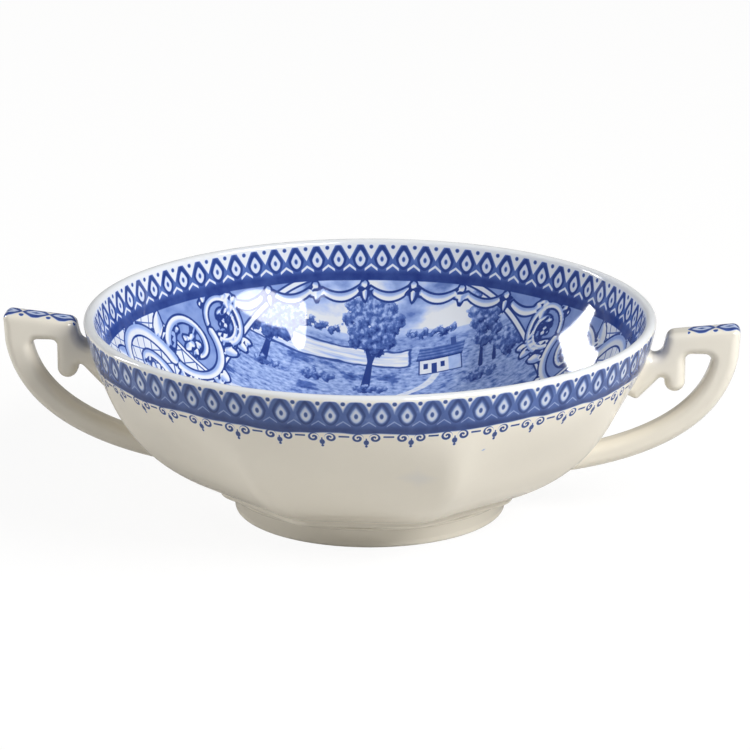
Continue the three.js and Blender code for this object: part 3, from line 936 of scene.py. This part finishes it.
class Surface:
    """A glossy glaze material, with the fields that its print is drawn from."""

    def __init__(self, name, roughness):
        self.material = bpy.data.materials.new(name)
        self.material.use_nodes = True
        self.tree = self.material.node_tree
        self.shader = self.tree.nodes["Principled BSDF"]
        self.shader.inputs["IOR"].default_value = GLAZE_IOR
        place = self.tree.nodes.new("ShaderNodeTexCoord").outputs["Object"]
        scale = self.tree.nodes.new("ShaderNodeVectorMath")
        scale.operation = "SCALE"
        scale.inputs["Scale"].default_value = 1 / MM
        self.tree.links.new(place, scale.inputs[0])
        self.place = scale.outputs[0]
        self.add_skin(roughness)

    def add_skin(self, roughness):
        """Small changes in the gloss, and the faint waves of a glaze that has run and set."""
        gloss = self.noise(self.place, 5.0, 3.0) * ROUGHNESS_CHANGE + roughness
        self.tree.links.new(gloss.socket, self.shader.inputs["Roughness"])
        waves = self.noise(self.place, 9.0, 2.0)
        bump = self.tree.nodes.new("ShaderNodeBump")
        bump.inputs["Strength"].default_value = 1.0
        bump.inputs["Distance"].default_value = GLAZE_WAVES * MM
        self.tree.links.new(waves.socket, bump.inputs["Height"])
        self.tree.links.new(bump.outputs[0], self.shader.inputs["Normal"])

    def parts(self, vector):
        node = self.tree.nodes.new("ShaderNodeSeparateXYZ")
        self.tree.links.new(vector, node.inputs[0])
        return [Field(self.tree, socket) for socket in node.outputs]

    def attribute(self, name, output="Fac"):
        node = self.tree.nodes.new("ShaderNodeAttribute")
        node.attribute_name = name
        return node.outputs[output]

    def number(self, name):
        return Field(self.tree, self.attribute(name))

    def noise(self, vector, size, detail=2.0, stretch=(1, 1, 1)):
        """Noise about zero, from -0.5 to 0.5, with lumps of about that size in millimetres."""
        mapping = self.tree.nodes.new("ShaderNodeMapping")
        mapping.inputs["Scale"].default_value = [1 / (size * s) for s in stretch]
        self.tree.links.new(vector, mapping.inputs["Vector"])
        node = self.tree.nodes.new("ShaderNodeTexNoise")
        node.inputs["Scale"].default_value = 1
        node.inputs["Detail"].default_value = detail
        self.tree.links.new(mapping.outputs[0], node.inputs["Vector"])
        return Field(self.tree, node.outputs["Fac"]) - 0.5

    def mix(self, factor, low, high):
        node = self.tree.nodes.new("ShaderNodeMix")
        node.data_type = "RGBA"
        self.tree.links.new(factor.socket, node.inputs["Factor"])
        for slot, colour in ((node.inputs[6], low), (node.inputs[7], high)):
            if isinstance(colour, tuple):
                slot.default_value = colour
            else:
                self.tree.links.new(colour, slot)
        return node.outputs[2]

    def inked(self, ink, ground, inks):
        """The ground's colour under ink, which goes from none at 0 to the deepest blue at 1."""
        pale = self.mix((ink * 3.2).least(1).most(0), ground, inks[0])
        middle = self.mix((ink * 3.2 - 1).least(1).most(0), pale, inks[1])
        return self.mix((ink * 2.1 - 1.1).least(1).most(0), middle, inks[2])

    def colour(self, socket):
        self.tree.links.new(socket, self.shader.inputs["Base Color"])


def lozenge_band(across, down, pitch, notch_form, wash, blur, arrow_ink, arrow_half):
    """Ink of a row of lozenges: across is the distance from a lozenge's middle, down from the band's top.

    Here and in the other drawings places are in millimetres, and ink goes from 0 to 1 for the deepest.
    """
    edge = pitch / 2 - across
    top_half, growth, power = notch_form
    notch = (across - down.most(0.0).math("POWER", power) * growth).over(top_half, blur)
    knot_down = down - KNOT_DROP
    knot = (edge * edge + knot_down * knot_down).under(0.24, 0.16)
    fall = down - HEART_DROP
    tall = (fall * (-1 / HEART_RISE)).most(fall / HEART_FALL)
    bulge = 1.75 - fall.under(0.0, 0.8) * 0.5
    size = (across / HEART_HALF_WIDTH).math("POWER", bulge) + tall.math("POWER", bulge)
    heart = size.under(0.95, blur * 1.3)
    ring = size.under(RING_SIZE, 0.25)
    seed = (across * across * 1.3 + fall * fall * 0.6).under(0.22, 0.20)
    arrow = (down - ARROW_DROP - edge * 0.7).abs().under(arrow_half, 0.14) * edge.under(1.6, 0.2)
    ink = painted(0.68 + wash, 0.95 + wash * 0.3, ring.most(down.over(6.0, 1.0)))
    ink = painted(ink, arrow_ink, arrow)
    pale = 0.5 * blur + wash * 0.4
    ink = painted(ink, painted(pale, 0.86, seed), heart)
    return painted(ink, knot * 0.88, notch)


def coil_edging(along, down):
    """Ink of pairs of small coils with a drop between them, joined by dashes."""
    pitch = 2 * math.pi * RIM_RADIUS / EDGING_UNITS
    across = (((along * EDGING_UNITS - EDGING_TURN).fraction() - 0.5) * pitch).abs()
    right = across - COIL_OFFSET
    lower = down - EDGING_DROP
    reach = (right * right + lower * lower * 1.2).math("SQRT")
    turn = lower.math("ARCTAN2", right) / (2 * math.pi)
    line = ((reach / COIL_STEP + turn).fraction() - 0.5).abs().over(0.20, 0.09)
    coil = line * reach.under(COIL_RADIUS, 0.12)
    drop = (across * across * 2.4 + (lower - 1.25) * (lower - 1.25) * 1.7).under(0.85, 0.35)
    tip = (across * across + (lower - 2.3) * (lower - 2.3)).under(0.10, 0.06)
    stalk = across.under(0.16, 0.08) * lower.between(0.1, 2.2, 0.1)
    dash = (lower + 0.3).abs().under(0.22, 0.08) * across.over(pitch / 2 - 1.15, 0.12)
    return coil.most(drop).most(tip).most(stalk).most(dash) * 0.92


def box_mask(x, y, left, right, bottom, top):
    """1 inside an upright box and 0 outside it."""
    return x.between(left, right, 0.06) * y.between(bottom, top, 0.06)


def cottage(ink, x, y, flow):
    """The ink with a small white cottage laid over it. Its corner is at the place (0, 0) of x and y."""
    ink = painted(ink, 0.90, box_mask(x, y, -0.35, 10.2, -0.3, 4.2))
    ink = painted(ink, 0.04 + flow * 0.2, box_mask(x, y, 0.0, 9.9, 0.0, 4.0))
    ink = painted(ink, 0.32 + flow * 0.3, box_mask(x, y, 7.0, 9.9, 0.0, 4.0))
    tile = ((y * 1.3).fraction() - 0.5).abs().under(0.22, 0.2) * 0.22
    roof = (x - 4.8 + (y - 4.0) * -0.3).abs().under(5.7, 0.08) * y.between(3.9, 7.0, 0.08)
    ink = painted(ink, 0.60 + tile + flow * 0.4, roof)
    ink = painted(ink, 0.97, (y - 3.9).abs().under(0.2, 0.08) * x.between(-0.9, 10.4, 0.1))
    ink = painted(ink, 0.85, box_mask(x, y, 7.9, 9.2, 6.4, 8.5))
    for opening in COTTAGE_OPENINGS:
        ink = painted(ink, 0.95, box_mask(x, y, *opening))
    return ink


def landscape(surface, place, x, y):
    """Ink of a landscape: trees and a cottage by a lake, under a cloudy sky."""
    cloud = surface.noise(place, 8.0, 5.0, (1.8, 1, 1))
    flow = surface.noise(place, 1.6, 3.0)
    grass = surface.noise(place, 0.7, 4.0, (2.2, 1, 1))
    tufts = surface.noise(place, 5.0, 3.0, (2.6, 1, 1))
    sky = ((y - 60.0) * 0.045 + cloud * 2.6).least(0.60).most(0.0)
    far_ridge = 58.3 + (x * 0.11 + 0.8).math("SINE") * 1.1 + (x * 0.27).math("SINE") * 0.4
    ink = painted(sky, 0.30 + grass * 0.3, (y - far_ridge).under(0, 0.2))
    ink = painted(ink, 0.52 + grass * 0.6, (y - far_ridge).under(-1.5, 0.6))
    bank = tufts * 3.0
    water = (0.10 + surface.noise(place, 0.7, 2.0, (12, 1, 1)) * 1.3).most(0.0)
    shore = y + bank
    lake = shore.between(50.4, 54.2, 0.15) * (x + bank).under(6.0, 0.3)
    rim = shore.between(49.9, 54.6, 0.15) * (x + bank).under(6.6, 0.3)
    field = 0.46 + grass * 0.9 + (tufts - 0.05).most(0.0) * 2.6
    ink = painted(ink, field, y.under(55.2, 0.6))
    ink = painted(ink, 0.88, rim)
    ink = painted(ink, water, lake)
    door = y - COTTAGE_Y
    path = (x - COTTAGE_X - 3.6 + door * door * 0.22 + tufts * 3.0).abs() + door * 0.14
    ink = painted(ink, 0.10 + grass * 0.5, path.under(0.9, 0.25) * door.under(0.0, 0.2))
    ink = cottage(ink, x - COTTAGE_X, door, flow)
    speckle = surface.noise(place, 1.1, 3.0)
    ink = painted(ink, 0.97, surface.number("branches").under(0.0, 0.12))
    shade = surface.number("leaf_shade") + speckle * 1.3
    ink = painted(ink, shade, (surface.number("leaves") + speckle * 2.4).under(0.1, 0.15))
    return ink.least(1.0).most(0.0)


def printed_glaze():
    """Cream glaze outside and a whiter one inside, over one blue print with its borders and picture."""
    surface = Surface("printed_glaze", PRINTED_ROUGHNESS)
    x, y, z = surface.parts(surface.place)
    drop = surface.number("drop")
    wobble = surface.noise(surface.place, 16.0, 2.0)
    flow = surface.noise(surface.place, 3.0, 3.0)
    wash = flow * 0.35
    around = y.math("ARCTAN2", x) / (2 * math.pi) + 1 + wobble * 0.0016
    pitch = 2 * math.pi * RIM_RADIUS / LOZENGES
    across = (((around * LOZENGES - LOZENGE_TURN).fraction() - 0.5) * pitch).abs()

    outside = -1.0 * drop - OUTSIDE_MARGIN + wobble * 0.5
    band = lozenge_band(across, outside, pitch, OUTSIDE_NOTCH, wash, 0.40, 0.48, 0.17)
    edging = coil_edging(around, outside)
    outer_ink = painted(edging, band, (outside + wobble * 2.2).under(BAND_HEIGHT, 0.22))
    outer_ink = outer_ink * outside.over(0.0, 0.15) * (0.97 + flow * 0.2)
    speck = (x - SPECK[0]).abs() + (z - SPECK[1] - (x - SPECK[0]) * 0.4).abs() * 2.0
    smudge = (x - SMUDGE[0]).abs() + (z - SMUDGE[1]).abs() * 1.5 + flow * 4.0
    marks = (speck.under(0.45, 0.2) * 0.38).most(smudge.under(3.0, 3.0) * 0.045)
    outer_ink = outer_ink.most(marks * y.under(0.0, 1.0))

    place = surface.attribute("place", "Vector")
    px, py, _ = surface.parts(place)
    inside = drop - INSIDE_MARGIN + wobble * 0.4
    band = lozenge_band(across, inside, pitch, INSIDE_NOTCH, wash, 0.14, 0.03, 0.3)
    ground = 0.52 + flow * 0.14
    rising = ((px + py * 0.8) / 4.2).fraction() - 0.5
    falling = ((px - py * 0.8) / 4.2).fraction() - 0.5
    lines = rising.abs().least(falling.abs()).under(0.05, 0.02)
    divide = py - px.abs() * 0.1 - TRELLIS_TOP
    ground = painted(ground, lines * 0.7 + 0.03, divide.under(0.0, 0.15))
    ground = painted(ground, 0.93, divide.abs().under(0.7, 0.12))
    ground = painted(ground, 0.02, divide.abs().under(0.3, 0.12))
    medallion = surface.number("medallion")
    ink = painted(ground, landscape(surface, place, px, py), medallion.under(0.0, 0.1))
    ink = painted(ink, 0.95, medallion.abs().under(1.05, 0.12))
    ink = painted(ink, 0.02, medallion.abs().under(0.55, 0.12))
    scroll = surface.number("scroll")
    shading = surface.number("scroll_side").over(0.15, 0.45) * 0.42 + flow * 0.12
    ink = painted(ink, 0.97, scroll.under(OUTLINE, 0.12))
    ink = painted(ink, shading, scroll.under(0.0, 0.12))
    inner_ink = painted(band, ink, inside.over(INSIDE_BAND_HEIGHT, 0.12))
    inner_ink = inner_ink * inside.over(0.0, 0.12) * (0.98 + flow * 0.15)

    is_inside = drop.over(0.0, 0.3)
    tint = surface.noise(surface.place, 30.0, 2.0) + 0.5
    cream = surface.mix(tint, GLAZE_SHADE, GLAZE_CREAM)
    glaze = surface.mix(drop.over(-1.5, 0.8), cream, GLAZE_INSIDE)
    printed_outside = surface.inked(outer_ink, glaze, OUTSIDE_INKS)
    printed_inside = surface.inked(inner_ink, glaze, INSIDE_INKS)
    surface.colour(surface.mix(is_inside, printed_outside, printed_inside))
    return surface.material


def cream_glaze():
    """Cream glaze, with a printed strip on the flat top of each handle and bare clay under the foot."""
    surface = Surface("cream_glaze", CREAM_ROUGHNESS)
    x, y, z = surface.parts(surface.place)
    flow = surface.noise(surface.place, 2.0, 2.0)
    tint = surface.noise(surface.place, 25.0, 2.0) + 0.5
    start = STRIP_START + x.math("SIGN") * STRIP_SHIFT
    reach = x.abs() - start
    width = y.abs() + flow * 0.3
    along = (((reach / STRIP_LENGTH).fraction() - 0.5) * STRIP_LENGTH).abs()
    lens = along * along / (STRIP_LENGTH * STRIP_LENGTH / 4) + width / STRIP_HALF_WIDTH
    heart = lens.under(0.52, 0.12)
    seed = (along / 1.0 + width / 0.6).under(1.0, 0.4)
    ink = painted(0.90 + flow * 0.3, painted(0.24 + flow * 0.3, 0.8, seed), heart)
    corner = STRIP_LENGTH / 2 - along
    knot = (corner * corner + (width - 2.2) * (width - 2.2)).under(0.30, 0.15)
    ink = painted(ink, knot * 0.85, lens.over(1.06, 0.10))
    on_top = (z + reach * -0.11).over(BAR_TOP - 2.9, 0.15) * reach.over(0.0, 0.12)
    ink = ink * on_top * width.under(2.8, 0.12)
    cream = surface.mix(tint, GLAZE_SHADE, GLAZE_CREAM)
    ground = surface.mix(z.under(0.12, 0.1), cream, BARE_CLAY)
    surface.colour(surface.inked(ink, ground, INSIDE_INKS))
    return surface.material


def whiten_for_camera(tree, plain, white, share, output):
    """Shows the camera that share of the white shader, and all other rays the plain one."""
    rays = tree.nodes.new("ShaderNodeLightPath")
    seen = Field(tree, rays.outputs["Is Camera Ray"]) * share
    mix = tree.nodes.new("ShaderNodeMixShader")
    for slot, socket in zip(mix.inputs, (seen.socket, plain.outputs[0], white.outputs[0])):
        tree.links.new(socket, slot)
    tree.links.new(mix.outputs[0], tree.nodes[output].inputs["Surface"])


def add_floor():
    """A pale floor. What the camera sees of it is brought close to white, and it keeps a soft shadow."""
    material = bpy.data.materials.new("pale_floor")
    material.use_nodes = True
    tree = material.node_tree
    plain = tree.nodes["Principled BSDF"]
    plain.inputs["Base Color"].default_value = FLOOR_PALE
    plain.inputs["Roughness"].default_value = 0.9
    plain.inputs["Specular IOR Level"].default_value = 0.0
    white = tree.nodes.new("ShaderNodeEmission")
    white.inputs["Strength"].default_value = FLOOR_GLOW
    whiten_for_camera(tree, plain, white, FLOOR_WHITE_SHARE, "Material Output")
    half = FLOOR_HALF_WIDTH
    corners = [(-half, -half, 0), (half, -half, 0), (half, half, 0), (-half, half, 0)]
    floor = mesh_piece("floor", corners, [(0, 1, 2, 3)])
    floor.data.materials.append(material)


def add_world():
    """Even light from all round, in front of a white background."""
    world = bpy.data.worlds.new("studio")
    bpy.context.scene.world = world
    world.use_nodes = True
    tree = world.node_tree
    plain = tree.nodes["Background"]
    white = tree.nodes.new("ShaderNodeBackground")
    for background, strength in ((plain, WORLD_STRENGTH), (white, 1.0)):
        background.inputs["Color"].default_value = WHITE
        background.inputs["Strength"].default_value = strength
    whiten_for_camera(tree, plain, white, 1.0, "World Output")


def set_up(name, data, azimuth, elevation, distance):
    """A camera or lamp that looks at the bowl. Azimuth 0 is the viewer's side and 90 is +X."""
    item = bpy.data.objects.new(name, data)
    turn, rise = math.radians(azimuth), math.radians(elevation)
    way = Vector((math.sin(turn) * math.cos(rise), -math.cos(turn) * math.cos(rise), math.sin(rise)))
    item.location = (way * distance + Vector((0, 0, TARGET_HEIGHT))) * MM
    item.rotation_mode = "QUATERNION"
    item.rotation_quaternion = way.to_track_quat("Z", "Y")
    bpy.context.scene.collection.objects.link(item)
    return item


def add_lamp(name, shape, azimuth, elevation, width, height, radiance, lights):
    """A soft box. It lights all, or only the gloss of the glaze, or only the matte colour under it."""
    data = bpy.data.lights.new(name, "AREA")
    data.shape = shape
    data.size = width * MM
    data.size_y = height * MM
    area = data.size * data.size_y * (math.pi / 4 if shape == "ELLIPSE" else 1)
    data.energy = math.pi * radiance * area
    lamp = set_up(name, data, azimuth, elevation, LAMP_DISTANCE)
    lamp.visible_diffuse = lights != "gloss"
    lamp.visible_glossy = lights != "matte"


def add_camera():
    data = bpy.data.cameras.new("camera")
    bpy.context.scene.camera = set_up("camera", data, CAMERA_AZIMUTH, CAMERA_ELEVATION, CAMERA_DISTANCE)
    data.sensor_width = SENSOR_WIDTH
    data.lens = SENSOR_WIDTH * FOCAL_PIXELS / IMAGE_SIDE
    data.shift_x = (IMAGE_SIDE / 2 - TARGET_PIXEL[0]) / IMAGE_SIDE
    data.shift_y = (TARGET_PIXEL[1] - IMAGE_SIDE / 2) / IMAGE_SIDE
    data.clip_start = 0.01
    data.clip_end = 100


def dress(piece, node, material):
    piece.data.materials.append(material)
    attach(piece, "root")
    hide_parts(node)


bpy.context.scene.view_settings.view_transform = "Standard"
add_camera()
add_floor()
add_world()
for lamp_name, lamp_form in LAMPS.items():
    add_lamp(lamp_name, *lamp_form)

cream = cream_glaze()
dress(build_bowl(), "bowl_body", printed_glaze())
dress(build_foot(), "foot_ring", cream)
dress(build_handle("handle_right", False), "right_handle", cream)
dress(build_handle("handle_left", True), "left_handle", cream)
